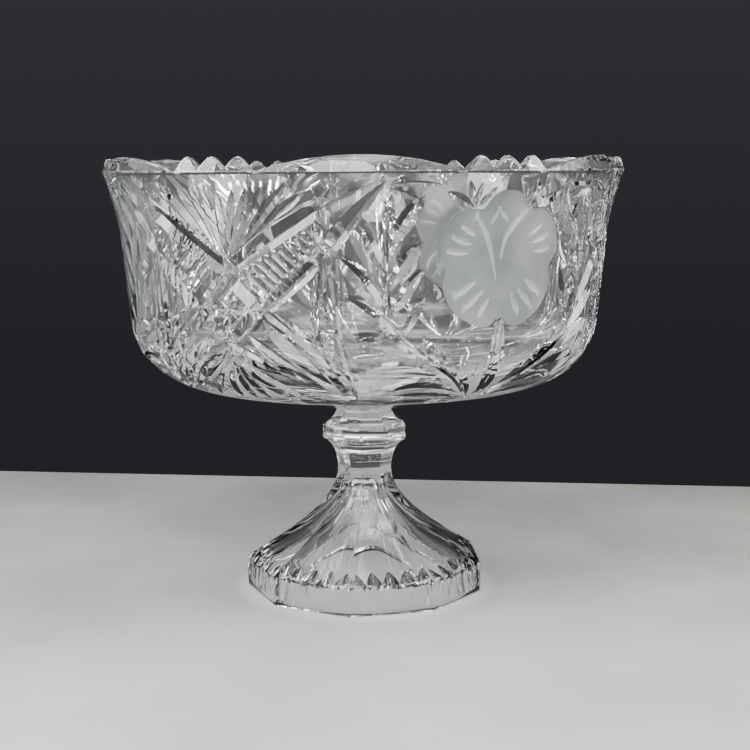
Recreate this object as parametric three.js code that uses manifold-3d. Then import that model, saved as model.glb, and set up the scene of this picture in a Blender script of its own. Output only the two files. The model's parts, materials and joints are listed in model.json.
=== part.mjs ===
// A cut-crystal punch bowl on a nine-sided pedestal foot, in millimetres with +Z up.
// The origin is on the bowl's axis, in the plane that the foot stands on, and the front is -Y.
// The glass is three pieces: the bowl, the pressed pedestal, and the thin film of clear adhesive
// that bonds the bowl's ground pad to the pedestal's flat top.
import * as THREE from 'three';
import { ParametricGeometry } from 'three/addons/geometries/ParametricGeometry.js';
import { mergeVertices } from 'three/addons/utils/BufferGeometryUtils.js';
import Module from 'manifold-3d';

const wasm = await Module();
wasm.setup();

// Heights of the joint between the pedestal and the bowl.
const PEDESTAL_TOP = 92;
const FILM_THICKNESS = 0.3;
const BOWL_BASE = PEDESTAL_TOP + FILM_THICKNESS;
const PAD_RADIUS = 13.7;
const FILM_RADIUS = 12.4;

// The bowl's outside: a shallow cone underneath, a round corner, a leaning wall and a flared lip.
const CONE_EDGE_RADIUS = 84;
const CONE_EDGE_HEIGHT = 105.8;
const WALL_FOOT_RADIUS = 115.4;
const WALL_FOOT_HEIGHT = 138;
const WALL_TOP_RADIUS = 119;
const WALL_TOP_HEIGHT = 175;
const RIM_RADIUS = 127.2;
const RIM_HEIGHT = 209.5;

// The bowl's inside, which leaves a heavy floor, a 7.5 mm wall and a 6 mm lip.
const FLOOR_HEIGHT = 103.5;
const FLOOR_EDGE_RADIUS = 73;
const FLOOR_EDGE_HEIGHT = 112.5;
const WALL_THICKNESS = 7.5;
const LIP_THICKNESS = 6;

// The crest is what stands above the lip. Each point has its place across the lip, from the
// outer edge at 0 to the inner edge at 1, and its share of the crest's rise.
const CREST = [[0.17, 0.6], [0.5, 1], [0.8, 0.6]];

// The rim goes round in six equal sections. Each has one long smooth scallop and three teeth.
const SECTIONS = 6;
const SCALLOP_ANGLE = 42;
const SCALLOP_RISE = 7;
const SCALLOP_STEPS = 8;
const TEETH = 3;
const TOOTH_ANGLE = 6;
const TOOTH_STEPS = 4;
const TOOTH_RISE = 6.6;
const TOOTH_VALLEY = 1.2;

// The pedestal is a nine-sided turned shape. Its radii are to the corners between the sides.
const SIDES = 9;
const SIDE_TURN = -6.9;
const FOOT_RADIUS = 60.3;
const FOOT_BEVEL = 1.2;
const FOOT_EDGE_HEIGHT = 15.5;
const STEM_RADIUS = 13.8;
const STEM_FOOT_HEIGHT = 62;
const KNOP_RADIUS = 21.3;
const KNOP_LOW = 76.5;
const KNOP_HIGH = 83;

// The bell-shaped hollow under the foot, with a rounded top.
const HOLLOW_RADIUS = 50.5;
const HOLLOW_SHOULDER_HEIGHT = 11;
const HOLLOW_NECK_RADIUS = 8.8;
const HOLLOW_NECK_HEIGHT = 44.5;
const HOLLOW_TOP_RADIUS = 2.8;
const HOLLOW_TOP_HEIGHT = 54.5;
const HOLLOW_SEGMENTS = 36;

// The cuts round the foot's upper edge: a wide mitre across the edge and a narrow one down the wall.
const NOTCHES_PER_SIDE = 5;
const MITRE_REACH_IN = 5.6;
const MITRE_REACH_DOWN = 2.8;
const FLUTE_DEPTH = 1.5;
const FLUTE_WIDTH = 4;
const FLUTE_FOOT_HEIGHT = 2.4;

const glass = (name, color) => {
  const material = new THREE.MeshStandardMaterial({ color, roughness: 0.05, metalness: 0 });
  material.name = name;
  return material;
};

// A mesh's faces as a solid for cutting, and a solid's faces as a geometry.
function toSolid(geometry) {
  const bare = new THREE.BufferGeometry();
  bare.setAttribute('position', geometry.getAttribute('position'));
  bare.setIndex(geometry.index);
  const merged = mergeVertices(bare, 1e-4);
  const vertProperties = merged.attributes.position.array;
  const triVerts = new Uint32Array(merged.index.array);
  return new wasm.Manifold(new wasm.Mesh({ numProp: 3, vertProperties, triVerts }));
}

function toGeometry(solid) {
  const mesh = solid.getMesh();
  const geometry = new THREE.BufferGeometry();
  geometry.setAttribute('position', new THREE.BufferAttribute(mesh.vertProperties, 3));
  geometry.setIndex(new THREE.BufferAttribute(mesh.triVerts, 1));
  geometry.computeVertexNormals();
  return geometry;
}

// A profile turned about +Z: the lathe turns about +Y, so its result is stood up.
function turned(profile, segments, turn = 0) {
  const lathe = new THREE.LatheGeometry(profile, segments, THREE.MathUtils.degToRad(turn));
  return lathe.rotateX(Math.PI / 2);
}

// How far the rim stands above its base plane at an angle inside a section. The section runs from
// the start of the scallop to the last tooth.
function rimRise(angle) {
  if (angle <= SCALLOP_ANGLE) {
    const across = 2 * angle / SCALLOP_ANGLE - 1;
    return SCALLOP_RISE * (1 - across * across);
  }
  const tooth = (angle - SCALLOP_ANGLE) / TOOTH_ANGLE;
  const outerEnd = tooth < 0.01 || tooth > TEETH - 0.01;
  const valley = outerEnd ? 0 : TOOTH_VALLEY;
  const across = Math.abs(2 * (tooth - Math.floor(tooth)) - 1);
  return valley + (TOOTH_RISE - valley) * Math.sin((1 - across) * Math.PI / 2);
}

// The angle inside a section of each column of the bowl's faces, close together on the teeth.
const COLUMNS = SCALLOP_STEPS + TEETH * TOOTH_STEPS;
function columnAngle(column) {
  if (column <= SCALLOP_STEPS) return column * SCALLOP_ANGLE / SCALLOP_STEPS;
  return SCALLOP_ANGLE + (column - SCALLOP_STEPS) * TOOTH_ANGLE / TOOTH_STEPS;
}

// The bowl's section from the pad at the centre, out and up to the lip, over the crest, then down
// the inside. Both ends are on the axis. Each point keeps its share of the crest's rise.
function bowlSection() {
  const outside = new THREE.Path();
  outside.moveTo(0, BOWL_BASE);
  outside.lineTo(PAD_RADIUS, BOWL_BASE);
  outside.lineTo(CONE_EDGE_RADIUS, CONE_EDGE_HEIGHT);
  outside.bezierCurveTo(101.3, 109, 113.8, 121.9, WALL_FOOT_RADIUS, WALL_FOOT_HEIGHT);
  outside.lineTo(WALL_TOP_RADIUS, WALL_TOP_HEIGHT);
  outside.quadraticCurveTo(121, 194, RIM_RADIUS, RIM_HEIGHT);

  const inside = new THREE.Path();
  inside.moveTo(RIM_RADIUS - LIP_THICKNESS, RIM_HEIGHT);
  inside.quadraticCurveTo(114, 194, WALL_TOP_RADIUS - WALL_THICKNESS, WALL_TOP_HEIGHT);
  inside.lineTo(WALL_FOOT_RADIUS - WALL_THICKNESS, WALL_FOOT_HEIGHT);
  inside.bezierCurveTo(106, 125, 94, 116, FLOOR_EDGE_RADIUS, FLOOR_EDGE_HEIGHT);
  inside.lineTo(0, FLOOR_HEIGHT);

  const fixed = (p) => ({ radius: p.x, height: p.y, share: 0 });
  const crest = CREST.map(([across, share]) => (
    { radius: RIM_RADIUS - across * LIP_THICKNESS, height: RIM_HEIGHT, share }
  ));
  return [...outside.getPoints(4).map(fixed), ...crest, ...inside.getPoints(4).map(fixed)];
}

function makeBowl() {
  const points = bowlSection();
  const last = points.length - 1;
  const surface = (u, v, target) => {
    const column = Math.round(u * SECTIONS * COLUMNS);
    const section = Math.floor(column / COLUMNS) % SECTIONS;
    const inSection = columnAngle(column % COLUMNS);
    const point = points[Math.round(v * last)];
    const height = point.height + rimRise(inSection) * point.share;
    const degrees = section * 360 / SECTIONS + inSection - SCALLOP_ANGLE / 2;
    const angle = THREE.MathUtils.degToRad(degrees);
    target.set(point.radius * Math.sin(angle), -point.radius * Math.cos(angle), height);
  };
  return new ParametricGeometry(surface, SECTIONS * COLUMNS, last);
}

// The pedestal's section: foot, concave dome, stem, knop and neck.
function pedestalProfile() {
  const outline = new THREE.Path();
  outline.moveTo(0, 0);
  outline.lineTo(FOOT_RADIUS - FOOT_BEVEL, 0);
  outline.lineTo(FOOT_RADIUS, FOOT_BEVEL);
  outline.lineTo(FOOT_RADIUS, FOOT_EDGE_HEIGHT);
  outline.bezierCurveTo(35, 31, 14, 44, STEM_RADIUS, STEM_FOOT_HEIGHT);
  outline.quadraticCurveTo(14.2, 73, KNOP_RADIUS, KNOP_LOW);
  outline.lineTo(KNOP_RADIUS, KNOP_HIGH);
  outline.quadraticCurveTo(15.5, 86, STEM_RADIUS, PEDESTAL_TOP);
  outline.lineTo(0, PEDESTAL_TOP);
  return outline.getPoints(8);
}

function hollowProfile() {
  const below = -1;
  const outline = new THREE.Path();
  outline.moveTo(0, below);
  outline.lineTo(HOLLOW_RADIUS, below);
  outline.lineTo(HOLLOW_RADIUS, 0);
  outline.lineTo(HOLLOW_RADIUS - 1.5, HOLLOW_SHOULDER_HEIGHT);
  outline.bezierCurveTo(33, 20, 17, 29, HOLLOW_NECK_RADIUS, HOLLOW_NECK_HEIGHT);
  outline.bezierCurveTo(6.9, 49, 5.6, 54, HOLLOW_TOP_RADIUS, HOLLOW_TOP_HEIGHT);
  outline.lineTo(0, HOLLOW_TOP_HEIGHT);
  return outline.getPoints(8);
}

// A V-shaped cutter whose bottom edge runs between two points of the plane y = 0, with x outward.
// The V opens away from the axis, and is as wide as asked at the given depth.
function vCutter(from, to, depth, width) {
  const opening = 2.5;
  const vee = new THREE.Shape();
  vee.moveTo(0, 0);
  vee.lineTo(depth * opening, width / 2 * opening);
  vee.lineTo(depth * opening, -width / 2 * opening);
  vee.closePath();
  const along = new THREE.Vector3(to.x - from.x, 0, to.y - from.y);
  const length = along.length();
  const cutter = new THREE.ExtrudeGeometry(vee, { depth: length, bevelEnabled: false });
  along.normalize();
  const outward = new THREE.Vector3(along.z, 0, -along.x);
  const sideways = new THREE.Vector3().crossVectors(along, outward);
  const frame = new THREE.Matrix4().makeBasis(outward, sideways, along);
  return cutter.applyMatrix4(frame.setPosition(from.x, 0, from.y));
}

function makePedestal() {
  // The lathe's corners start at its +Z axis, which stands up as the front, -Y.
  let pedestal = toSolid(turned(pedestalProfile(), SIDES, SIDE_TURN));
  pedestal = pedestal.subtract(toSolid(turned(hollowProfile(), HOLLOW_SEGMENTS)));

  const sideAngle = 360 / SIDES;
  const halfSide = THREE.MathUtils.degToRad(sideAngle / 2);
  const flat = FOOT_RADIUS * Math.cos(halfSide);
  const pitch = 2 * FOOT_RADIUS * Math.sin(halfSide) / NOTCHES_PER_SIDE;
  const edge = new THREE.Vector2(flat, FOOT_EDGE_HEIGHT);

  // The wide mitre's bottom edge crosses from the dome to the wall, beneath the foot's edge.
  const domeEnd = new THREE.Vector2(edge.x - MITRE_REACH_IN, edge.y + MITRE_REACH_IN * 0.6);
  const wallEnd = new THREE.Vector2(edge.x, edge.y - MITRE_REACH_DOWN);
  const chord = wallEnd.clone().sub(domeEnd);
  const mitreDepth = Math.abs(edge.clone().sub(domeEnd).cross(chord)) / chord.length();
  const stretch = chord.clone().multiplyScalar(0.5);
  const mitreFrom = wallEnd.clone().add(stretch);
  const mitreTo = domeEnd.clone().sub(stretch);
  const mitre = toSolid(vCutter(mitreFrom, mitreTo, mitreDepth, pitch));

  const fluteFrom = new THREE.Vector2(flat, FLUTE_FOOT_HEIGHT);
  const fluteTo = new THREE.Vector2(flat - FLUTE_DEPTH, FOOT_EDGE_HEIGHT + 2);
  const flute = toSolid(vCutter(fluteFrom, fluteTo, FLUTE_DEPTH, FLUTE_WIDTH));
  const notch = mitre.add(flute);

  for (let side = 0; side < SIDES; side++) {
    for (let i = 0; i < NOTCHES_PER_SIDE; i++) {
      const along = (i - (NOTCHES_PER_SIDE - 1) / 2) * pitch;
      const turn = SIDE_TURN - 90 + (side + 0.5) * sideAngle;
      pedestal = pedestal.subtract(notch.translate([0, along, 0]).rotate([0, 0, turn]));
    }
  }
  return toGeometry(pedestal);
}

function makeFilm() {
  const profile = [
    new THREE.Vector2(0, PEDESTAL_TOP),
    new THREE.Vector2(FILM_RADIUS, PEDESTAL_TOP),
    new THREE.Vector2(FILM_RADIUS, BOWL_BASE),
    new THREE.Vector2(0, BOWL_BASE),
  ];
  return turned(profile, HOLLOW_SEGMENTS);
}

function piece(name, geometry, material) {
  const mesh = new THREE.Mesh(geometry, material);
  mesh.name = name;
  return mesh;
}

const punchBowl = new THREE.Group();
punchBowl.add(piece('bowl', makeBowl(), glass('cut crystal', 0xe4e7e6)));
punchBowl.add(piece('pedestal', makePedestal(), glass('pressed crystal', 0xdfe3e2)));
punchBowl.add(piece('bond_film', makeFilm(), glass('clear adhesive', 0xf0f2f0)));

export default punchBowl;
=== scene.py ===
"""Looks of the cut-crystal pedestal punch bowl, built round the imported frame.

The bowl is one thick shell of revolution. Its pattern is cut into the outside with V-shaped and
round-bottomed grooves, as a cutter's wheel would, so every facet is real geometry. The pattern
repeats three times round the bowl: a panel of crossed bands, then a panel with a frosted flower in
a wreath. Shapes are in millimetres, and MM turns them into metres.
"""
import json
import math

import bpy
import bmesh
import numpy as np
from mathutils import Matrix, Vector

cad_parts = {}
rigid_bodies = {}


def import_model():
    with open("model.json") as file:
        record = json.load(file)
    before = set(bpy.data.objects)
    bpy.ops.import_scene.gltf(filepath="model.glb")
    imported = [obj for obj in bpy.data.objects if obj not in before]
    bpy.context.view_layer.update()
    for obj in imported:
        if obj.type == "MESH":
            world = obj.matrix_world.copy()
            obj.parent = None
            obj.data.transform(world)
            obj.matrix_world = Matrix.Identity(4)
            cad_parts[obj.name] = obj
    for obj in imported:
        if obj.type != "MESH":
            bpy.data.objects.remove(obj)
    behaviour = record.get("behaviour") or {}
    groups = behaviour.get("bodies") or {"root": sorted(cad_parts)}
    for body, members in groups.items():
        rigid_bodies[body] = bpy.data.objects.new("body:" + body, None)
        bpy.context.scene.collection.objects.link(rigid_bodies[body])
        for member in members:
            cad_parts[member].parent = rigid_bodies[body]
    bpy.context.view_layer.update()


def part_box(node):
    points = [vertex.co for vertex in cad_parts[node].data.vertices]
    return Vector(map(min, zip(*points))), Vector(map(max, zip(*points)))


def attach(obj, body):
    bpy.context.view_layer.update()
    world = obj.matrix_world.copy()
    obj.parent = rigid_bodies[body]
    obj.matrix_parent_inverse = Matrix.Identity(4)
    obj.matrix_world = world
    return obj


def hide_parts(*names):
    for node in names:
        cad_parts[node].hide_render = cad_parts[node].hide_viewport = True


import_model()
MM = 0.001

# ---------------------------------------------------------------- sizes, from the frame
bowl_low, bowl_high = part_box("bowl")
foot_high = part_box("pedestal")[1]
film_low, film_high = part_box("bond_film")
RIM_RADIUS = bowl_high.x / MM
RIM_TOP = bowl_high.z / MM
BOWL_BASE = bowl_low.z / MM
SCALLOP_RISE = 7.0
RIM_HEIGHT = RIM_TOP - SCALLOP_RISE
LIP_THICKNESS = 6.0
WALL_THICKNESS = 7.5
PAD_RADIUS = 13.7

# The rim goes round in six sections. Each has one long scallop and three teeth.
SECTIONS = 6
SCALLOP_ANGLE = 42.0
TOOTH_ANGLE = 6.0
TEETH = 3
TOOTH_RISE = 6.6
TOOTH_VALLEY = 1.2
TOOTH_BLUNTNESS = 0.12

# The pattern stands a little off the rim's sections, and its panels alternate. PANEL_RADIUS is the
# wall's radius at which a panel's millimetres are true.
PATTERN_TURN = 0.9
PANEL_RADIUS = 117.0
CROSS_PANELS = [PATTERN_TURN - 30 + 120 * i for i in range(3)]
FLOWER_PANELS = [PATTERN_TURN + 30 + 120 * i for i in range(3)]


# ---------------------------------------------------------------- curves
def bezier(points, count):
    """Points along a quadratic or cubic Bezier curve, as an array of rows."""
    t = np.linspace(0, 1, count)[:, None]
    p = [np.array(q, float) for q in points]
    if len(p) == 3:
        return (1 - t) ** 2 * p[0] + 2 * (1 - t) * t * p[1] + t * t * p[2]
    return ((1 - t) ** 3 * p[0] + 3 * (1 - t) ** 2 * t * p[1]
            + 3 * (1 - t) * t * t * p[2] + t ** 3 * p[3])


def line(start, end, count):
    return np.linspace(start, end, count)


def join(*runs):
    """Runs of points end to end, without the shared points."""
    return np.vstack([runs[0]] + [run[1:] for run in runs[1:]])


def smooth_path(points, count):
    """A Catmull-Rom curve through given points, sampled evenly by length."""
    p = np.array(points, float)
    if len(p) == 2:
        return np.linspace(p[0], p[1], count)
    ends = np.vstack([2 * p[0] - p[1], p, 2 * p[-1] - p[-2]])
    fine = []
    for a, b, c, d in zip(ends, ends[1:], ends[2:], ends[3:]):
        for t in np.linspace(0, 1, 12, endpoint=False):
            fine.append(0.5 * (2 * b + (c - a) * t + (2 * a - 5 * b + 4 * c - d) * t * t
                               + (3 * b - a - 3 * c + d) * t ** 3))
    fine = np.array(fine + [p[-1]])
    run = np.r_[0, np.cumsum(np.linalg.norm(np.diff(fine, axis=0), axis=1))]
    at = np.linspace(0, run[-1], count)
    return np.stack([np.interp(at, run, fine[:, i]) for i in range(2)], 1)


# ---------------------------------------------------------------- the bowl's surfaces
CONE_EDGE = (84.0, 105.8)
WALL_FOOT = (115.4, 138.0)
WALL_TOP = (119.0, 175.0)
LIP = (RIM_RADIUS, RIM_HEIGHT)
outer_run = join(
    line((PAD_RADIUS, BOWL_BASE), CONE_EDGE, 40),
    bezier([CONE_EDGE, (101.3, 109.0), (113.8, 121.9), WALL_FOOT], 80),
    line(WALL_FOOT, WALL_TOP, 30),
    bezier([WALL_TOP, (121.0, 194.0), LIP], 60),
)
outer_length = np.r_[0, np.cumsum(np.linalg.norm(np.diff(outer_run, axis=0), axis=1))]
LIP_AT = outer_length[-1]
WALL_FOOT_AT = np.interp(WALL_FOOT[1], outer_run[:, 1], outer_length)


def outside_at(at):
    """The radius and height of the bowl's outside at a length along it from the pad."""
    return np.interp(at, outer_length, outer_run[:, 0]), np.interp(at, outer_length, outer_run[:, 1])


INNER_LIP = (RIM_RADIUS - LIP_THICKNESS, RIM_HEIGHT)
INNER_WALL_TOP = (WALL_TOP[0] - WALL_THICKNESS, WALL_TOP[1])
INNER_WALL_FOOT = (WALL_FOOT[0] - WALL_THICKNESS, WALL_FOOT[1])
FLOOR_EDGE = (73.0, 112.5)
FLOOR_MIDDLE = (0.0, 103.5)
inner_rows = join(
    bezier([INNER_LIP, (114.0, 194.0), INNER_WALL_TOP], 12),
    line(INNER_WALL_TOP, INNER_WALL_FOOT, 8),
    bezier([INNER_WALL_FOOT, (106.0, 125.0), (94.0, 116.0), FLOOR_EDGE], 14),
    line(FLOOR_EDGE, FLOOR_MIDDLE, 12),
)


def wall_point(angle, at, lift=0.0):
    """A point on the bowl's outside. angle is in radians from the front, at is the length along
    the outside from the pad, and lift stands it off the surface."""
    radius, height = outside_at(at)
    step = 0.6
    behind = outside_at(np.clip(at - step, 0, LIP_AT))
    ahead = outside_at(np.clip(at + step, 0, LIP_AT))
    run, rise = ahead[0] - behind[0], ahead[1] - behind[1]
    size = np.hypot(run, rise)
    out, up = rise / size, -run / size
    radius, height = radius + lift * out, height + lift * up
    return np.stack([radius * np.sin(angle), -radius * np.cos(angle), height], -1)


def panel_point(panel, x, y, lift=0.0):
    """A point in a panel's own measure: x mm round from its middle, and y mm up the outside from the
    wall's foot."""
    angle = math.radians(panel) + np.asarray(x, float) / PANEL_RADIUS
    return wall_point(angle, WALL_FOOT_AT + np.asarray(y, float), lift)


def rim_rise(angle):
    """How far the crest stands above the lip, at degrees into a section from the scallop's start."""
    if angle <= SCALLOP_ANGLE:
        across = 2 * angle / SCALLOP_ANGLE - 1
        return SCALLOP_RISE * (1 - across * across)
    tooth = (angle - SCALLOP_ANGLE) / TOOTH_ANGLE
    at_end = tooth < 0.5 or tooth > TEETH - 0.5
    across = 2 * (tooth - math.floor(tooth)) - 1
    outer_flank = at_end and (across < 0) == (tooth < 0.5)
    valley = 0.0 if outer_flank else TOOTH_VALLEY
    foot = math.sqrt(1 + TOOTH_BLUNTNESS)
    share = (foot - math.sqrt(across * across + TOOTH_BLUNTNESS)) / (foot - math.sqrt(TOOTH_BLUNTNESS))
    return valley + (TOOTH_RISE - valley) * share


def add_mesh(name, points, faces, material=None, collection=None):
    mesh = bpy.data.meshes.new(name)
    mesh.from_pydata([tuple(p) for p in np.asarray(points) * MM], [], faces)
    if material is not None:
        mesh.materials.append(material)
    piece = bpy.data.objects.new(name, mesh)
    (collection or bpy.context.scene.collection).objects.link(piece)
    return piece


def face_out(piece):
    """Turns a closed mesh's faces to point out."""
    work = bmesh.new()
    work.from_mesh(piece.data)
    bmesh.ops.recalc_face_normals(work, faces=work.faces)
    work.to_mesh(piece.data)
    work.free()


def ring(radius, angles, height):
    """Points round the axis. radius and height may each be one number, or one for every angle."""
    return np.stack([radius * np.sin(angles), -radius * np.cos(angles), height + 0 * angles], -1)


def revolve(name, rows, columns, material):
    """A closed shell of revolution from (radius, height) rows whose two ends are on the axis."""
    angles = np.linspace(0, 2 * math.pi, columns, endpoint=False)
    points = [ring(radius, angles, height) for radius, height in rows[1:-1]]
    rings = len(points)
    flat = np.vstack(points + [np.array([[0.0, 0.0, rows[0][1]], [0.0, 0.0, rows[-1][1]]])])
    start, end = rings * columns, rings * columns + 1
    faces = []
    for c in range(columns):
        n = (c + 1) % columns
        faces.append((start, c, n))
        for r in range(rings - 1):
            faces.append((r * columns + c, (r + 1) * columns + c, (r + 1) * columns + n, r * columns + n))
        faces.append(((rings - 1) * columns + c, end, (rings - 1) * columns + n))
    piece = add_mesh(name, flat, faces, material)
    face_out(piece)
    return piece


# ---------------------------------------------------------------- materials
def node_material(name):
    material = bpy.data.materials.new(name)
    material.use_nodes = True
    nodes = material.node_tree.nodes
    nodes.clear()
    output = nodes.new("ShaderNodeOutputMaterial")
    shader = nodes.new("ShaderNodeBsdfPrincipled")
    material.node_tree.links.new(shader.outputs["BSDF"], output.inputs["Surface"])
    return material, nodes, material.node_tree.links, shader


def noise(nodes, links, scale, detail, roughness=0.5):
    where = nodes.new("ShaderNodeTexCoord")
    texture = nodes.new("ShaderNodeTexNoise")
    texture.inputs["Scale"].default_value = scale
    texture.inputs["Detail"].default_value = detail
    texture.inputs["Roughness"].default_value = roughness
    links.new(where.outputs["Object"], texture.inputs["Vector"])
    return texture.outputs["Fac"]


def ramp(nodes, links, value, low, high, out_low, out_high):
    node = nodes.new("ShaderNodeMapRange")
    node.inputs["From Min"].default_value = low
    node.inputs["From Max"].default_value = high
    node.inputs["To Min"].default_value = out_low
    node.inputs["To Max"].default_value = out_high
    links.new(value, node.inputs["Value"])
    return node.outputs["Result"]


def blend(nodes, links, factor, first, second):
    """A mix of two colours, each one a tuple or another node's output."""
    node = nodes.new("ShaderNodeMix")
    node.data_type = "RGBA"
    for name, colour in (("A", first), ("B", second)):
        if isinstance(colour, tuple):
            node.inputs[name].default_value = colour
        else:
            links.new(colour, node.inputs[name])
    links.new(factor, node.inputs["Factor"])
    return node.outputs["Result"]


def combine(nodes, links, operation, first, second):
    """One maths operation on two values."""
    node = nodes.new("ShaderNodeMath")
    node.operation = operation
    links.new(first, node.inputs[0])
    links.new(second, node.inputs[1])
    return node.outputs["Value"]


def bump(nodes, links, height, distance, strength=1.0):
    node = nodes.new("ShaderNodeBump")
    node.inputs["Strength"].default_value = strength
    node.inputs["Distance"].default_value = distance
    links.new(height, node.inputs["Height"])
    return node.outputs["Normal"]


def clear_glass(name, waviness, wave_size, tint=(0.993, 0.999, 0.996, 1)):
    """Clear lead crystal, with a slightly wavy surface and faint wear in its polish."""
    material, nodes, links, shader = node_material(name)
    shader.inputs["Base Color"].default_value = tint
    shader.inputs["Transmission Weight"].default_value = 1.0
    shader.inputs["IOR"].default_value = 1.54
    wear = noise(nodes, links, 260, 4)
    links.new(ramp(nodes, links, wear, 0.35, 0.8, 0.0, 0.035), shader.inputs["Roughness"])
    waves = noise(nodes, links, wave_size, 2)
    links.new(bump(nodes, links, waves, waviness), shader.inputs["Normal"])
    return material


def frosted_glass(name, dark, light, through):
    """Acid-etched crystal: milky and matt, with a fine grain and a cloudy depth."""
    material, nodes, links, shader = node_material(name)
    clouds = ramp(nodes, links, noise(nodes, links, 38, 3), 0.36, 0.62, 0.0, 1.0)
    links.new(blend(nodes, links, clouds, dark, light), shader.inputs["Base Color"])
    shader.inputs["Transmission Weight"].default_value = through
    shader.inputs["IOR"].default_value = 1.5
    shader.inputs["Specular IOR Level"].default_value = 0.3
    grain = noise(nodes, links, 2600, 3, 0.6)
    links.new(ramp(nodes, links, grain, 0.3, 0.7, 0.55, 0.75), shader.inputs["Roughness"])
    links.new(bump(nodes, links, grain, 0.00012, 0.5), shader.inputs["Normal"])
    return material


cut_glass = clear_glass("cut_crystal_glass", 0.00008, 45)
pressed_glass = clear_glass("pressed_crystal_glass", 0.0002, 30)
frost = frosted_glass("frosted_crystal_glass", (0.31, 0.335, 0.345, 1), (0.52, 0.54, 0.545, 1), 0.6)
# The cuts in the frosted flower get a paler copy of the frost that lets less through: a painted highlight
# for the light they catch.
frost_cut_painted_highlight = frosted_glass("frosted_cut_glass_painted_highlight", (0.52, 0.55, 0.555, 1), (0.68, 0.70, 0.70, 1), 0.45)
# The bowl's material slots, in the order in which it is given them.
CLEAR_SLOT, FROST_SLOT, FROST_CUT_PAINTED_HIGHLIGHT_SLOT = range(3)

# ---------------------------------------------------------------- the plain bowl
COLUMNS = 216
# The plain crest across the lip: the place across it from its outer edge, and the height there. The
# rim's scallops and teeth are cut down into it afterwards.
CREST = [(0.0, 0.0), (0.08, 2.0), (0.17, 4.2), (0.26, 6.0), (0.36, 7.3), (0.5, 7.6),
         (0.64, 7.3), (0.76, 6.0), (0.87, 4.0), (0.95, 2.0), (1.0, 0.0)]

# The rows are wide apart on the flat cone underneath, and close together from its edge up.
CONE_ROWS_END = 68.0
outer_at = np.concatenate([np.linspace(0, CONE_ROWS_END, 14, endpoint=False),
                           np.linspace(CONE_ROWS_END, LIP_AT, 46)])
outer_rows = [(0.0, BOWL_BASE)] + [outside_at(at) for at in outer_at[:-1]]
lip_rows = [(RIM_RADIUS - place * LIP_THICKNESS, RIM_HEIGHT + height) for place, height in CREST]
bowl_rows = outer_rows + lip_rows + [tuple(p) for p in inner_rows[1:]]
bowl = revolve("cut_bowl", bowl_rows, COLUMNS, cut_glass)
bowl.data.materials.append(frost)
bowl.data.materials.append(frost_cut_painted_highlight)

# ---------------------------------------------------------------- cutters
cutters = bpy.data.collections.new("cutters")
bpy.context.scene.collection.children.link(cutters)
# A cutter's flanks run on for SKIN above the glass, and its back is PROUD above it. Its sections are
# about SECTION_STEP apart, and its bottom line ends END_LIFT above the glass.
SKIN = 0.3
PROUD = 1.4
SECTION_STEP = 2.6
END_LIFT = 0.06


def rim_cutter():
    """Everything above the rim's scallops and teeth: a ring whose underside is their outline, with a
    slight crown across the lip."""
    section_angle = 360 / SECTIONS
    section = list(np.linspace(0, SCALLOP_ANGLE, 24, endpoint=False))
    section += list(np.linspace(SCALLOP_ANGLE, section_angle, 36, endpoint=False))
    heights = np.array([max(rim_rise(a), 0.03) for a in section] * SECTIONS)
    starts = [section_angle * i - SCALLOP_ANGLE / 2 for i in range(SECTIONS)]
    angles = np.radians(np.concatenate([np.array(section) + start for start in starts]))
    # How far in from the rim's edge, and how far the crown falls there.
    crown = [(-3.0, -2.4), (0.0, -1.0), (1.2, -0.28), (2.4, 0.0),
             (3.6, 0.0), (4.8, -0.28), (6.0, -1.0), (9.0, -2.4)]
    full_crown_height = 3.0
    back_height = 12.0
    rings = []
    for inward, drop in crown:
        fall = drop * np.minimum(1, heights / full_crown_height)
        rings.append(ring(RIM_RADIUS - inward, angles, RIM_HEIGHT + np.maximum(heights + fall, 0.02)))
    for inward in (crown[-1][0], crown[0][0]):
        rings.append(ring(RIM_RADIUS - inward, angles, RIM_HEIGHT + back_height))
    count = len(angles)
    faces = []
    for r in range(len(rings)):
        up = (r + 1) % len(rings)
        for c in range(count):
            n = (c + 1) % count
            faces.append((r * count + c, r * count + n, up * count + n, up * count + c))
    face_out(add_mesh("cutter", np.vstack(rings), faces, collection=cutters))


def depth_along(shape, t, peak, length=None):
    """The share of a groove's full depth at places t along it, from 0 to 1. A mitre and a slot are
    deep nearly to their ends, so they need their length. A leaf and an oval rise and fall all along."""
    if shape == "mitre":
        taper = min(0.45, 5.0 / length)
        return np.clip(np.minimum(t, 1 - t) / taper, 0, 1) ** 0.7
    if shape == "slot":
        taper = min(0.5, 1.4 / length)
        near = np.clip(np.minimum(t, 1 - t) / taper, 0, 1)
        return np.sqrt(1 - (1 - near) ** 2)
    warped = np.where(t < peak, 0.5 * t / peak, 0.5 + 0.5 * (t - peak) / (1 - peak))
    return np.sin(np.pi * warped) ** (0.75 if shape == "leaf" else 0.55)


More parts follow.
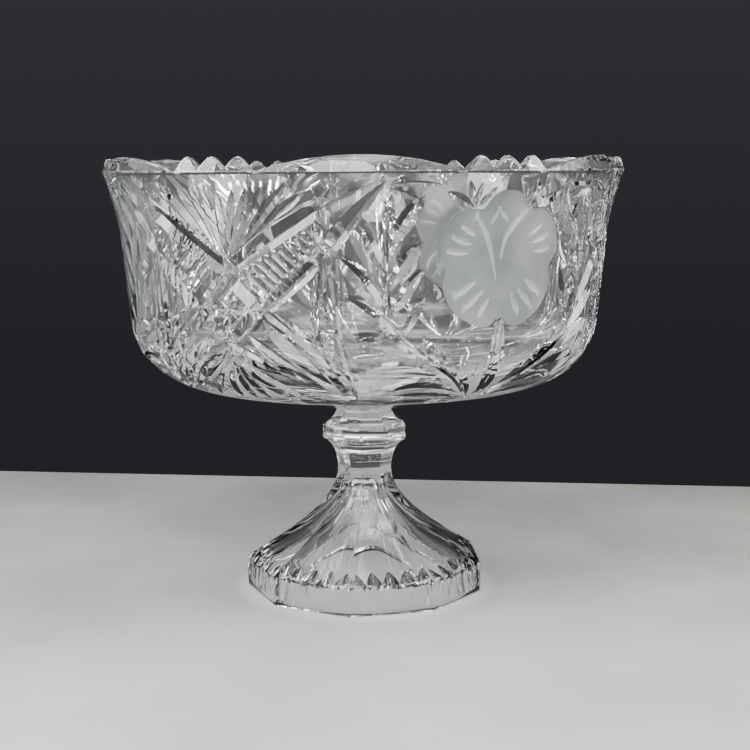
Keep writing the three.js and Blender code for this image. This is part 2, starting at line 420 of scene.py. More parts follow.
def groove(place, cut, sink=0.0):
    """One cutter, sunk below the outside by sink. place(x, y, lift) puts a point on the bowl. A cut is
    its points, the widths of its flanks to the left and right of its bottom line, its greatest depth,
    its shape, and where along it the depth is greatest. A slot or an oval has a round bottom."""
    points, left, right, full, shape, peak = cut
    run = np.array(points, float)
    length = np.linalg.norm(np.diff(run, axis=0), axis=1).sum()
    count = max(5, int(math.ceil(length / SECTION_STEP)) + 1)
    # The sections are closer together near the ends, where the outline turns most.
    closeness = 0.35
    t = np.linspace(0, 1, count)
    t = t - closeness * np.sin(2 * np.pi * t) / (2 * np.pi)
    fine_points = 200
    path = smooth_path(points, fine_points)
    path = np.stack([np.interp(t, np.linspace(0, 1, fine_points), path[:, i]) for i in range(2)], 1)
    depth = full * depth_along(shape, t, peak, length) - END_LIFT
    centre = place(path[:, 0], path[:, 1], 0.0)
    normal = place(path[:, 0], path[:, 1], 1.0) - centre
    side = np.cross(np.gradient(centre, axis=0), normal)
    side /= np.linalg.norm(side, axis=1)[:, None]
    centre = centre - sink * normal
    arc = [math.radians(a) for a in (-80, -50, -20, 20, 50, 80)]
    arc_end = math.cos(arc[-1])
    rings = []
    for c, n, s, d in zip(centre, normal, side, depth):
        grow = (d + SKIN) / full
        if shape in ("slot", "oval"):
            across = []
            for a in arc:
                width = (right if a > 0 else left) * grow
                share = (math.cos(a) - arc_end) / (1 - arc_end)
                across.append((width * math.sin(a), SKIN - (d + SKIN) * share))
        else:
            across = [(-left * grow, SKIN), (0.0, -d), (right * grow, SKIN)]
        across = [(across[0][0], sink + PROUD)] + across + [(across[-1][0], sink + PROUD)]
        rings.append([c + s * u + n * v for u, v in across])
    size = len(rings[0])
    faces = [tuple(range(size)), tuple(range((count - 1) * size, count * size))]
    for i in range(count - 1):
        for j in range(size):
            k = (j + 1) % size
            faces.append((i * size + j, (i + 1) * size + j, (i + 1) * size + k, i * size + k))
    face_out(add_mesh("cutter", np.array(rings).reshape(-1, 3), faces, collection=cutters))


def mirrored(cuts):
    """Each cut, and its mirror about the panel's middle unless it lies on it."""
    both = list(cuts)
    for points, left, right, *rest in cuts:
        if max(abs(x) for x, y in points) > 0.3:
            both.append(([(-x, y) for x, y in points], right, left, *rest))
    return both


# The kinds of cut. Where no depth is given, it is a share of the cut's width.
def mitre(*points, width):
    return (list(points), width / 2, width / 2, 0.85 * width / 2, "mitre", 0.5)


def band(*points, left, right, depth):
    return (list(points), left, right, depth, "mitre", 0.5)


def leaf(*points, left, right, peak, depth=None):
    return (list(points), left, right, depth or 0.72 * (left + right) / 2, "leaf", peak)


def oval(*points, width):
    return (list(points), width / 2, width / 2, 0.7 * width / 2, "oval", 0.5)


def slot(*points, width):
    return (list(points), width / 2, width / 2, 0.42 * width, "slot", 0.5)


# ---------------------------------------------------------------- the cross panel's cuts
# Two wide bands cross in a diamond. Their upper arms end at nodes, each with a pair of long leaves.
cross = [
    band((43.4, 56.6), (21.5, 42.6), (-0.6, 29), left=3.4, right=5.4, depth=2.5),
    band((43.6, 36.2), (30, 24.2), (16.4, 12.4), left=3.8, right=3.0, depth=2.6),
    band((0, 29.6), (17.2, 12.9), left=1.7, right=4.4, depth=2.2),
    band((17.2, 13), (0, -2.4), left=1.7, right=4.4, depth=2.2),
    band((16.4, 13.4), (40, -5), (48, -19), (56, -33), left=2.2, right=2.2, depth=1.8),
    band((-0.6, -1.8), (21, -13.5), (36, -25), (54, -35), left=2.0, right=2.0, depth=1.6),
    mitre((1, 34.5), (20, 48.6), (42.8, 61), width=2.4),
    leaf((44.2, 56.4), (56, 62.4), (69.5, 69.8), left=1.6, right=3.4, depth=2.2, peak=0.16),
    leaf((43.6, 35.8), (56.4, 51.6), (69.8, 68.8), left=5.4, right=3.4, depth=2.6, peak=0.2),
    leaf((45, 59.5), (46.2, 53.4), (43.6, 35.5), left=1.8, right=2.2, depth=1.5, peak=0.3),
    leaf((44.5, 57), (49, 67), left=1.3, right=1.3, peak=0.4),
    leaf((43, 57.5), (41, 66.5), left=1.1, right=1.1, peak=0.4),
]
# The ladder: slots from the upper band down towards the diamond, shorter towards the node.
RUNGS = (17.0, 15.8, 14.8, 13.9, 13.2, 12.4, 11.2, 9.4, 7.2, 4.6)
LADDER_START, LADDER_RUN = (8.4, 31.2), (30.2, 17.2)
RUNG_ACROSS, RUNG_DOWN, RUNG_WIDTH = 0.74, 0.68, 2.85
for i, length in enumerate(RUNGS):
    x, y = (start + run * i / (len(RUNGS) - 1) for start, run in zip(LADDER_START, LADDER_RUN))
    cross.append(slot((x, y), (x + RUNG_ACROSS * length, y - RUNG_DOWN * length), width=RUNG_WIDTH))
# The fan above the crossing.
cross += [
    leaf((0, 36), (0, 65), left=1.9, right=1.9, peak=0.7),
    leaf((0.8, 35), (7.4, 65.5), left=2.3, right=2.3, peak=0.68),
    leaf((1.6, 35), (13.8, 66), left=1.9, right=1.9, peak=0.7),
    leaf((3.5, 37), (20.8, 66.4), left=3.1, right=3.1, peak=0.66),
    leaf((2.6, 34.6), (17, 52), (31.5, 68.4), left=2.9, right=2.9, peak=0.6),
    leaf((13, 44), (38, 64.4), left=2.5, right=2.5, peak=0.62),
]
# The diamond's bevelled middle and small star.
cross += [
    leaf((-8.2, 13), (8.2, 13), left=1.3, right=1.3, depth=1.0, peak=0.5),
    leaf((0, 5.6), (0, 20.4), left=1.3, right=1.3, depth=1.0, peak=0.5),
    leaf((-4.6, 8.8), (4.6, 17.2), left=1.0, right=1.0, depth=0.8, peak=0.5),
]
# The lower arms and the fan between them.
cross += [
    leaf((16.4, 9.4), (30, -3.6), (46.5, -22), left=3.4, right=4.6, depth=2.7, peak=0.34),
    leaf((8.6, 2.6), (21, -7.4), (45, -27.5), left=3.0, right=3.6, depth=2.4, peak=0.4),
    leaf((2.8, -6.4), (17, -15.2), (36, -30), left=2.6, right=2.8, peak=0.45),
    leaf((2, -8.6), (11.4, -20.6), (22, -34), left=3.0, right=3.0, depth=1.0, peak=0.55),
    leaf((0.9, -9.4), (5.6, -22), (9.6, -36), left=2.6, right=2.6, depth=1.0, peak=0.6),
    leaf((0, -4), (0, -37), left=2.2, right=2.2, depth=1.0, peak=0.7),
    leaf((14.5, -23), (26, -36), left=2.2, right=2.2, depth=1.0, peak=0.5),
    leaf((27, -27.5), (40, -36.5), left=2.2, right=2.2, depth=1.0, peak=0.5),
]
# The triangles at the sides, and the column between this panel and the next.
cross += [
    leaf((21.5, 12.8), (38.8, -2), left=2.4, right=1.8, depth=1.2, peak=0.5),
    leaf((39, 26.5), (39.6, 12), (39, -1), left=1.9, right=1.9, depth=1.1, peak=0.5),
    mitre((42.2, 35.4), (40.8, 20), (41.2, 2), (44, -10), (50, -25), (56, -35), width=2.8),
    mitre((45.6, 34.8), (48.4, 22), (49.2, 8), (51, -1), (53.4, -12), (57, -35), width=2.9),
    mitre((43.9, 33), (44.9, 18), (45, 3), width=2.2),
    oval((45, 4), (46.6, -6.4), width=4.2),
    oval((47, -6.8), (49.6, -16.6), width=3.8),
    oval((50, -16.8), (53.4, -26.4), width=3.2),
]

# ---------------------------------------------------------------- the flower panel's cuts
wreath = [
    mitre((-4.5, -36), (-15.8, -22), (-24.7, -14.2), (-34.7, -7.3), (-43.6, -0.5), (-48, 5), (-50.8, 11.8),
          (-51.8, 21), (-52, 30), (-52.6, 46), (-53.2, 61), width=2.8),
    leaf((-61.8, 48.6), (-58, 40), (-52.8, 28), left=2.8, right=3.0, peak=0.4),
    leaf((-72.6, 36.4), (-63.4, 26.8), (-55.4, 16), (-50.6, 7.6), left=3.4, right=4.2, peak=0.36),
    leaf((-70.6, 19.5), (-61.4, 13), (-52.6, 6.2), (-45.2, 0), left=3.3, right=4.0, peak=0.36),
    leaf((-67.2, 3.2), (-57, 1), (-47, -2.8), (-38, -8), left=3.2, right=3.8, peak=0.38),
    leaf((-62.6, -15.6), (-55, -12.2), (-46, -11.6), (-36, -13.6), (-27, -17.4),
         left=3.2, right=4.2, depth=1.3, peak=0.42),
    leaf((-49.9, -27), (-41, -22.4), (-32, -21.8), (-22, -24.4), (-13, -29.6),
         left=3.3, right=3.3, depth=1.1, peak=0.45),
    leaf((-48, -30), (-32, -29.8), (-18, -32), (-6, -36), left=2.4, right=2.8, depth=0.9, peak=0.45),
    leaf((-36.7, 62.4), (-43, 54), (-51.6, 39.6), left=4.2, right=4.0, peak=0.46),
    leaf((-36.5, 43), (-43.4, 35.6), (-51, 22.4), left=3.5, right=3.5, peak=0.46),
    leaf((-36, 31.4), (-42, 24.4), (-48.8, 12), left=3.0, right=3.0, peak=0.46),
    leaf((-35.4, 20), (-39.6, 12.6), (-44.6, 2), left=2.5, right=2.5, peak=0.46),
    leaf((-36.4, 3.4), (-31.6, -5), (-23.6, -14.6), left=2.2, right=2.4, peak=0.5),
    leaf((-27, -3), (-23, -11.4), (-15.6, -22.4), left=2.1, right=2.1, peak=0.5),
    leaf((-18.2, -12), (-13.4, -21), (-6.4, -33), left=2.5, right=2.5, peak=0.5),
    leaf((-52, 66.8), (-41, 67.4), (-30, 66.8), left=1.5, right=1.7, peak=0.5),
    leaf((-52, 65.4), (-39.4, 60.6), left=1.8, right=2.0, peak=0.45),
    leaf((-50.6, 63), (-50.2, 50), left=1.7, right=1.7, peak=0.5),
    leaf((1.1, 8.6), (-2.6, -34), left=1.5, right=1.7, peak=0.4),
    leaf((1.3, 8.6), (3.8, -13), left=1.2, right=1.2, peak=0.4),
    leaf((3.4, -14), (0.6, -33), left=1.8, right=1.8, peak=0.5),
    leaf((-15.7, 56.6), (-28.4, 64), left=2.6, right=2.6, depth=1.6, peak=0.5),
    leaf((-15.7, 57), (-19.4, 69), left=2.0, right=2.0, peak=0.5),
    leaf((-15.5, 57), (-13.6, 68.4), left=1.4, right=1.4, peak=0.5),
    leaf((-14.5, 57), (-6.6, 66), left=1.6, right=1.6, peak=0.5),
]

# The frosted flower's outline, from the top of its bud round to the notch at the stem.
HALF_FLOWER = [(0, 64.3), (4.5, 63.6), (8.4, 60.4), (10.8, 56.4), (14.5, 55.8), (19, 56), (24.4, 53.2),
               (28.6, 48.4), (30.6, 42), (30.2, 36), (27, 30), (28.2, 24.5), (26.6, 18.5), (23, 12.4),
               (17.4, 8.2), (11, 5.2), (5.6, 5.2), (1.2, 8.8)]
FLOWER_HALF_WIDTH = 33
FLOWER_FOOT, FLOWER_TOP = 3, 66
FLOWER_SINK = 0.7
# How much deeper the bed is at the outline, how far it swells from there, and over what distance.
BED_DROP, BED_SWELL, SWELL_REACH = 0.25, 0.55, 11.0
veins = [
    leaf((-15.6, 57), (-12.8, 51.5), (-8, 43), (-5, 33.4), (-2.2, 23),
         left=1.2, right=1.2, depth=0.55, peak=0.35),
    leaf((14.6, 59), (10, 55), (4.4, 49), (0.6, 43), (-1.6, 33),
         left=1.5, right=1.5, depth=0.6, peak=0.35),
    leaf((-7.4, 49), (-3.8, 56.2), left=1.0, right=1.0, depth=0.5, peak=0.5),
    leaf((-3.8, 56.2), (1.5, 50.5), left=1.0, right=1.0, depth=0.5, peak=0.5),
]
petal_cuts = [
    leaf((13.8, 44.5), (20.4, 48.8), left=1.3, right=1.3, depth=0.7, peak=0.5),
    leaf((15.2, 40.8), (25.2, 44.2), left=1.4, right=1.4, depth=0.7, peak=0.6),
    leaf((16.6, 37.2), (27.4, 38), left=1.4, right=1.4, depth=0.7, peak=0.6),
    leaf((12.8, 25.2), (22.6, 18.4), left=1.7, right=1.7, depth=0.8, peak=0.6),
    leaf((9.4, 20.8), (18.4, 12.6), left=1.7, right=1.7, depth=0.8, peak=0.6),
    leaf((5.8, 18), (10.8, 10), left=1.6, right=1.6, depth=0.8, peak=0.6),
]


def flower_outline():
    half = smooth_path(HALF_FLOWER, 64)
    other = half[1:-1][::-1] * [-1, 1]
    return np.vstack([half, other])


def flower_cutter(place, outline):
    """The sunk bed of the flower: a slab with its outline, bent to the wall. The bed is deepest at
    the outline and swells towards the middle of the petals."""
    work = bmesh.new()
    work.faces.new([work.verts.new((x, y, 0.0)) for x, y in outline])
    # It is sliced both ways so that it can bend, just off the outline's own points.
    slice_step = 2.0
    off_points = 0.13
    for axis, low, high in ((0, -FLOWER_HALF_WIDTH, FLOWER_HALF_WIDTH), (1, FLOWER_FOOT, FLOWER_TOP)):
        for at in np.arange(low, high, slice_step):
            origin = [0.0, 0.0, 0.0]
            normal = [0.0, 0.0, 0.0]
            origin[axis] = at + off_points
            normal[axis] = 1.0
            bmesh.ops.bisect_plane(work, geom=work.verts[:] + work.edges[:] + work.faces[:],
                                   plane_co=origin, plane_no=normal)
    top = bmesh.ops.extrude_face_region(work, geom=work.faces[:])
    for part in top["geom"]:
        if isinstance(part, bmesh.types.BMVert):
            part.co.z = 1.0
    mesh = bpy.data.meshes.new("cutter")
    work.to_mesh(mesh)
    work.free()
    flat = np.array([v.co for v in mesh.vertices])
    gaps = np.hypot(flat[:, None, 0] - outline[None, :, 0], flat[:, None, 1] - outline[None, :, 1]).min(1)
    swell = np.sin(np.clip(gaps / SWELL_REACH, 0, 1) * math.pi / 2)
    bed = FLOWER_SINK + BED_DROP - BED_SWELL * swell
    bent = place(flat[:, 0], flat[:, 1], np.where(flat[:, 2] > 0.5, PROUD, -bed)) * MM
    mesh.vertices.foreach_set("co", bent.astype(np.float32).ravel())
    piece = bpy.data.objects.new("cutter", mesh)
    cutters.objects.link(piece)
    face_out(piece)


def panel_place(panel):
    return lambda x, y, lift: panel_point(panel, x, y, lift)


rim_cutter()
outline = flower_outline()
for panel in CROSS_PANELS:
    for cut in mirrored(cross):
        groove(panel_place(panel), cut)
for panel in FLOWER_PANELS:
    for cut in mirrored(wreath):
        groove(panel_place(panel), cut)
    flower_cutter(panel_place(panel), outline)
    for cut in veins + mirrored(petal_cuts):
        groove(panel_place(panel), cut, FLOWER_SINK - 0.2)


# The star underneath, round the stem.
def star_place(turn):
    return lambda x, y, lift: wall_point(turn + np.asarray(x, float), np.asarray(y, float), lift)


RAYS = 24
long_ray = leaf((0, 8.0), (0, 66.0), left=2.8, right=2.8, depth=1.4, peak=0.55)
short_ray = leaf((0, 8.0), (0, 46.0), left=1.8, right=1.8, depth=0.9, peak=0.55)
for ray in range(RAYS):
    turn = math.radians(PATTERN_TURN + 360 / RAYS * ray)
    groove(star_place(turn), short_ray if ray % 2 else long_ray)


def cut_out(piece, tools):
    """Cuts every tool out of the piece, then removes the tools."""
    modifier = piece.modifiers.new("cuts", "BOOLEAN")
    modifier.operation = "DIFFERENCE"
    modifier.operand_type = "COLLECTION"
    modifier.collection = tools
    modifier.solver = "MANIFOLD"
    shown = piece.evaluated_get(bpy.context.evaluated_depsgraph_get())
    mesh = bpy.data.meshes.new_from_object(shown)
    piece.modifiers.clear()
    old = piece.data
    piece.data = mesh
    bpy.data.meshes.remove(old)
    for tool in list(tools.objects):
        data = tool.data
        bpy.data.objects.remove(tool)
        bpy.data.meshes.remove(data)
    bpy.data.collections.remove(tools)


def smooth_by_angle(piece, degrees):
    for polygon in piece.data.polygons:
        polygon.use_smooth = True
    piece.data.set_sharp_from_angle(angle=math.radians(degrees))


cut_out(bowl, cutters)


def local_places(mesh, panel):
    """Each face's middle in a panel's measure, and its depth under the bowl's outside. It holds above
    the wall's foot, where the outside rises steadily."""
    middles = np.empty(len(mesh.polygons) * 3, np.float32)
    mesh.polygons.foreach_get("center", middles)
    middles = middles.reshape(-1, 3) / MM
    turn = np.arctan2(middles[:, 0], -middles[:, 1]) - math.radians(panel)
    turn = (turn + math.pi) % (2 * math.pi) - math.pi
    rising = outer_run[:, 1]
    depth = np.interp(middles[:, 2], rising, outer_run[:, 0]) - np.hypot(middles[:, 0], middles[:, 1])
    return turn * PANEL_RADIUS, np.interp(middles[:, 2], rising, outer_length) - WALL_FOOT_AT, depth


def inside_outline(x, y, corners):
    """Whether each point is inside a closed outline, by how often a line to its right crosses it."""
    inside = np.zeros(len(x), bool)
    for (x0, y0), (x1, y1) in zip(corners, np.roll(corners, -1, axis=0)):
        crosses = (y0 > y) != (y1 > y)
        with np.errstate(divide="ignore", invalid="ignore"):
            at = x0 + (y - y0) * (x1 - x0) / (y1 - y0)
        inside ^= crosses & (x < at)
    return inside


# The frost is on the sunk faces inside a flower's outline. Its cuts get a paler copy of the frost, a
# painted highlight for the light they catch.
FROST_DEPTHS = (0.25, 3.0)
OUTLINE_SHARE = 1.002
CUT_SHARE = 0.98
PATH_POINTS = 60
slots = np.full(len(bowl.data.polygons), CLEAR_SLOT, np.int32)
for panel in FLOWER_PANELS:
    x, y, depth = local_places(bowl.data, panel)
    sunk = (depth < FROST_DEPTHS[1]) & (depth > FROST_DEPTHS[0])
    in_flower = sunk & inside_outline(x, y, outline * OUTLINE_SHARE)
    slots[in_flower] = FROST_SLOT
    at = np.flatnonzero(in_flower & (np.abs(x) < FLOWER_HALF_WIDTH))
    for points, left, right, _, shape, peak in veins + mirrored(petal_cuts):
        path = smooth_path(points, PATH_POINTS)
        t = np.linspace(0, 1, PATH_POINTS)
        reach = max(left, right) * depth_along(shape, t, peak) * CUT_SHARE
        apart = np.hypot(x[at, None] - path[None, :, 0], y[at, None] - path[None, :, 1])
        slots[at[(apart < reach[None, :]).any(1)]] = FROST_CUT_PAINTED_HIGHLIGHT_SLOT
bowl.data.polygons.foreach_set("material_index", slots)
smooth_by_angle(bowl, 14)

# ---------------------------------------------------------------- the pedestal
# The radii of the pedestal's outside are to the corners between its nine sides.
SIDES = 9
SIDE_TURN = -6.9
FOOT_RADIUS = 60.3
FOOT_EDGE_HEIGHT = 15.5
CORNER_EASE = 0.45
BEVEL_IN, BEVEL_UP = (59.1, 0), (FOOT_RADIUS, 1.2)
FOOT_EDGE = (FOOT_RADIUS, FOOT_EDGE_HEIGHT)
STEM_FOOT = (13.8, 62)
KNOP_LOW, KNOP_HIGH = (21.3, 76.5), (21.3, 83)
NECK_TOP = (13.8, round(foot_high.z / MM, 3))
foot_rows = join(
    line((0, 0), BEVEL_IN, 2), line(BEVEL_IN, BEVEL_UP, 2), line(BEVEL_UP, FOOT_EDGE, 2),
    bezier([FOOT_EDGE, (35, 31), (14, 44), STEM_FOOT], 26),
    bezier([STEM_FOOT, (14.2, 73), KNOP_LOW], 12),
    line(KNOP_LOW, KNOP_HIGH, 2),
    bezier([KNOP_HIGH, (15.5, 86), NECK_TOP], 12),
    line(NECK_TOP, (0, NECK_TOP[1]), 2),
)

# The hollow starts a little under the foot, so that it cuts cleanly through its flat base.
BELOW = -1
HOLLOW_RADIUS = 50.5
HOLLOW_SHOULDER = (49, 11)
HOLLOW_NECK = (8.8, 44.5)
HOLLOW_TOP = (2.8, 54.5)
hollow_rows = join(
    line((0, BELOW), (HOLLOW_RADIUS, BELOW), 2), line((HOLLOW_RADIUS, BELOW), (HOLLOW_RADIUS, 0), 2),
    line((HOLLOW_RADIUS, 0), HOLLOW_SHOULDER, 4),
    bezier([HOLLOW_SHOULDER, (33, 20), (17, 29), HOLLOW_NECK], 30),
    bezier([HOLLOW_NECK, (6.9, 49), (5.6, 54), HOLLOW_TOP], 12),
    line(HOLLOW_TOP, (0, HOLLOW_TOP[1]), 2),
)


def turned_solid(name, rows, angles, scale, material=None, collection=None):
    """A closed turned solid. scale gives each column's radius as a share of the row's."""
    columns = len(angles)
    points = [ring(radius * scale, angles, height) for radius, height in rows[1:-1]]
    rings = len(points)
    faces = [tuple(range(columns)), tuple(range((rings - 1) * columns, rings * columns))]
    for r in range(rings - 1):
        for c in range(columns):
            n = (c + 1) % columns
            faces.append((r * columns + c, (r + 1) * columns + c, (r + 1) * columns + n, r * columns + n))
    piece = add_mesh(name, np.vstack(points), faces, material, collection)
    face_out(piece)
    return piece


# Each corner is eased by two columns close together, so that it catches the light.
half_side = math.pi / SIDES
corner_angles, corner_scale = [], []
for side in range(SIDES):
    corner = math.radians(SIDE_TURN) + side * 2 * half_side
    for way in (-1, 1):
        ease = CORNER_EASE / FOOT_RADIUS
        point = np.array([1.0 - ease * math.sin(half_side), way * ease * math.cos(half_side)])
        corner_angles.append(corner + math.atan2(point[1], point[0]))
        corner_scale.append(np.hypot(*point))
pedestal = turned_solid("faceted_pedestal", foot_rows, np.array(corner_angles), np.array(corner_scale),
                        pressed_glass)

foot_cutters = bpy.data.collections.new("foot_cutters")
bpy.context.scene.collection.children.link(foot_cutters)
around = np.linspace(0, 2 * math.pi, 96, endpoint=False)
full_round = np.ones(len(around))
turned_solid("hollow", hollow_rows, around, full_round, collection=foot_cutters)

# Sections of the foot's cuts, as shares of a cut's width and depth. The flute's is round-bottomed, and
# the notch's is pointed with swelling flanks.
ROUND = ((-0.1, 0.02), (0.1, 0.02), (0.22, 0.12), (0.34, 0.34), (0.46, 0.74), (1.2, 3.2),
         (-1.2, 3.2), (-0.46, 0.74), (-0.34, 0.34), (-0.22, 0.12))
OGIVE = ((0, 0), (0.09, 0.08), (0.18, 0.22), (0.3, 0.48), (0.41, 0.78), (1.3, 3.2),
         (-1.3, 3.2), (-0.41, 0.78), (-0.3, 0.48), (-0.18, 0.22), (-0.09, 0.08))


def straight_groove(section, start, end, depth, width, turn, shift):
    """A cutter whose bottom edge runs between two (radius, height) points of one side's middle plane,
    moved shift mm along the side. It opens outwards."""
    start, end = np.array(start, float), np.array(end, float)
    along = (end - start) / np.linalg.norm(end - start)
    outward = np.array([along[1], -along[0]])
    if outward[0] < 0:
        outward = -outward
    points = []
    for at in (start, end):
        for share, out in section:
            across = share * width + shift
            radius, height = at + outward * out * depth
            points.append((radius * math.sin(turn) + across * math.cos(turn),
                           -radius * math.cos(turn) + across * math.sin(turn), height))
    count = len(section)
    faces = [tuple(range(count)), tuple(range(count, 2 * count))]
    faces += [(i, (i + 1) % count, (i + 1) % count + count, i + count) for i in range(count)]
    face_out(add_mesh("notch", points, faces, collection=foot_cutters))


NOTCHES = 5
NOTCH_REACH_IN, NOTCH_REACH_UP, NOTCH_REACH_DOWN = 5.6, 3.36, 2.8
FLUTE_DEPTH, FLUTE_WIDTH, FLUTE_FOOT_HEIGHT = 1.5, 6.4, 1.8
flat_radius = FOOT_RADIUS * math.cos(half_side)
pitch = 2 * FOOT_RADIUS * math.sin(half_side) / NOTCHES

# A notch's bottom edge crosses from the dome to the wall, beneath the foot's edge.
dome_end = np.array([flat_radius - NOTCH_REACH_IN, FOOT_EDGE_HEIGHT + NOTCH_REACH_UP])
wall_end = np.array([flat_radius, FOOT_EDGE_HEIGHT - NOTCH_REACH_DOWN])
chord = wall_end - dome_end
edge = np.array([flat_radius, FOOT_EDGE_HEIGHT]) - dome_end
notch_depth = abs(edge[0] * chord[1] - edge[1] * chord[0]) / np.linalg.norm(chord)
notch_start, notch_end = wall_end + chord / 2, dome_end - chord / 2
flute_start = (flat_radius, FLUTE_FOOT_HEIGHT)
flute_end = (flat_radius - FLUTE_DEPTH, FOOT_EDGE_HEIGHT + 2)
for side in range(SIDES):
    turn = math.radians(SIDE_TURN) + (2 * side + 1) * half_side
    for i in range(NOTCHES):
        shift = (i - (NOTCHES - 1) / 2) * pitch
        straight_groove(OGIVE, notch_start, notch_end, notch_depth, pitch, turn, shift)
        straight_groove(ROUND, flute_start, flute_end, FLUTE_DEPTH, FLUTE_WIDTH, turn, shift)
cut_out(pedestal, foot_cutters)
smooth_by_angle(pedestal, 12)

# The adhesive's edge is drawn in, as it is when it sets, and it stands a hair clear of both glasses.
FILM_CLEARANCE = 0.02
film_radius = film_high.x / MM
film_base = film_low.z / MM + FILM_CLEARANCE
film_top = film_high.z / MM - FILM_CLEARANCE
film_middle = (film_base + film_top) / 2
film_rows = [(0, film_base), (film_radius, film_base), (film_radius - 0.2, film_base + 0.05),
             (film_radius - 0.28, film_middle), (film_radius - 0.2, film_top - 0.05),
             (film_radius, film_top), (0, film_top)]
film_material = clear_glass("clear_adhesive_film", 0.00005, 120, (0.99, 0.99, 0.98, 1))
film = turned_solid("adhesive_film", film_rows, around, full_round, film_material)
smooth_by_angle(film, 20)

for piece, node, slot in ((bowl, "bowl", "cut_crystal"), (pedestal, "pedestal", "pressed_crystal"),
                          (film, "bond_film", "clear_adhesive")):
    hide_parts(node)
    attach(piece, "root")

# ---------------------------------------------------------------- table, light and camera
table_material, nodes, links, shader = node_material("pale_table")
mottle = ramp(nodes, links, noise(nodes, links, 5.0, 6, 0.6), 0.3, 0.7, 0.0, 0.3)
coordinates = nodes.new("ShaderNodeTexCoord")
place = nodes.new("ShaderNodeSeparateXYZ")
links.new(coordinates.outputs["Object"], place.inputs["Vector"])
# Painted light: the table's colour grows paler towards the front and darker towards the back, a pool of
# light painted into it.
painted_light_towards_front = ramp(nodes, links, place.outputs["Y"], -0.35, 0.2, 0.78, 0.0)
paler = combine(nodes, links, "ADD", painted_light_towards_front, mottle)
# Paler under the foot, to make up for the light that the glass keeps from it.
from_axis = nodes.new("ShaderNodeVectorMath")
from_axis.operation = "LENGTH"
links.new(coordinates.outputs["Object"], from_axis.inputs[0])
under_foot = ramp(nodes, links, from_axis.outputs["Value"], 0.052, 0.068, 0.6, 0.0)
paler = combine(nodes, links, "ADD", paler, under_foot)
table_colour = blend(nodes, links, paler, (0.17, 0.172, 0.165, 1), (0.66, 0.66, 0.64, 1))
links.new(table_colour, shader.inputs["Base Color"])
shader.inputs["Roughness"].default_value = 0.55
shader.inputs["Specular IOR Level"].default_value = 0.25

# The table's rear edge is slanted to the view.
TABLE_REACH, TABLE_THICKNESS = 1600, 30
table_corners = [(-TABLE_REACH, -TABLE_REACH), (TABLE_REACH, -TABLE_REACH),
                 (TABLE_REACH, 66), (-TABLE_REACH, 440)]
table_faces = [(0, 1, 2, 3), (7, 6, 5, 4), (0, 4, 5, 1), (1, 5, 6, 2), (2, 6, 7, 3), (3, 7, 4, 0)]
table_points = [(x, y, z) for z in (0, -TABLE_THICKNESS) for x, y in table_corners]
top = add_mesh("table_top", table_points, table_faces, table_material)

# A dark backdrop behind the table, and a soft grey room everywhere else.
world = bpy.data.worlds.new("room")
world.use_nodes = True
nodes, links = world.node_tree.nodes, world.node_tree.links
background = nodes["Background"]
facing = nodes.new("ShaderNodeSeparateXYZ")
coordinates = nodes.new("ShaderNodeTexCoord")
links.new(coordinates.outputs["Generated"], facing.inputs["Vector"])
sideways = ramp(nodes, links, facing.outputs["Y"], 0.68, 0.86, 1.0, 0.0)
below = ramp(nodes, links, facing.outputs["Z"], -0.27, -0.225, 1.0, 0.0)
above = ramp(nodes, links, facing.outputs["Z"], 0.3, 0.5, 0.0, 1.0)
over_or_under = combine(nodes, links, "MAXIMUM", above, below)
off_backdrop = combine(nodes, links, "MAXIMUM", sideways, over_or_under)

# The room's walls, with soft bright windows high up.
patches = nodes.new("ShaderNodeTexNoise")
patches.inputs["Scale"].default_value = 2.4
patches.inputs["Detail"].default_value = 1.0
links.new(coordinates.outputs["Generated"], patches.inputs["Vector"])
bright = ramp(nodes, links, patches.outputs["Fac"], 0.55, 0.66, 0.0, 1.0)
high_up = ramp(nodes, links, facing.outputs["Z"], 0.2, 0.36, 0.0, 1.0)
windows = combine(nodes, links, "MULTIPLY", bright, high_up)
walls = blend(nodes, links, windows, (0.16, 0.1632, 0.1688, 1), (5.0, 5.0, 4.9, 1))

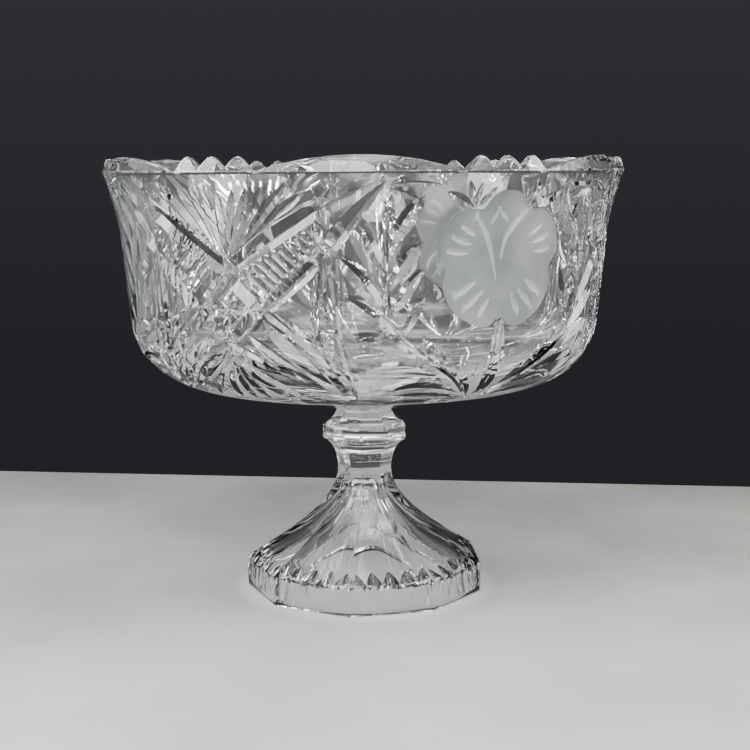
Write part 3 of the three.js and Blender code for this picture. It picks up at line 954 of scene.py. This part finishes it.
upwards = ramp(nodes, links, facing.outputs["Z"], -0.12, 0.12, 0.0, 1.0)
backdrop = blend(nodes, links, upwards, (0.030, 0.030, 0.0345, 1), (0.047, 0.046, 0.052, 1))
links.new(blend(nodes, links, off_backdrop, backdrop, walls), background.inputs["Color"])
bpy.context.scene.world = world


def softbox(name, place, aim, width, height, watts, color=(1, 1, 1)):
    light = bpy.data.lights.new(name, "AREA")
    light.shape = "ELLIPSE"
    light.size, light.size_y = width, height
    light.energy = watts
    light.color = color
    lamp = bpy.data.objects.new(name, light)
    lamp.location = place
    lamp.rotation_euler = (Vector(aim) - Vector(place)).to_track_quat("-Z", "Y").to_euler()
    lamp.visible_camera = False
    bpy.context.scene.collection.objects.link(lamp)


softbox("overhead", (0.1, -0.35, 1.5), (0, -0.05, 0.05), 1.3, 0.9, 7.5)
softbox("left", (-1.25, -0.35, 0.75), (0, 0, 0.12), 0.5, 0.9, 10.5, (0.96, 0.98, 1))
softbox("right", (1.25, -0.15, 0.8), (0, 0, 0.12), 0.45, 0.8, 8.2, (1, 0.99, 0.97))
softbox("front", (-0.2, -1.4, 0.75), (0, 0, 0.1), 0.8, 0.5, 11.5)

# The camera looks down a little from the front. Its turn, tilt and roll are in radians.
CAMERA_TURN, CAMERA_TILT, CAMERA_ROLL = 0.0063, 0.1399, -0.005
camera_data = bpy.data.cameras.new("camera")
camera_data.lens = 68.81
camera_data.sensor_width = 36.0
camera = bpy.data.objects.new("camera", camera_data)
camera.location = (0.00978, -0.71627, 0.20878)
camera.rotation_euler = (Matrix.Rotation(CAMERA_TURN, 3, "Z")
                         @ Matrix.Rotation(math.pi / 2 - CAMERA_TILT, 3, "X")
                         @ Matrix.Rotation(CAMERA_ROLL, 3, "Z")).to_euler()
bpy.context.scene.collection.objects.link(camera)
bpy.context.scene.camera = camera
bpy.context.scene.view_settings.look = "AgX - Medium High Contrast"
# Light turns back many times inside the cut glass, more than the usual 4 glossy bounces allow.
paths = bpy.context.scene.cycles
paths.max_bounces = 24
paths.glossy_bounces = 8
paths.transmission_bounces = 20
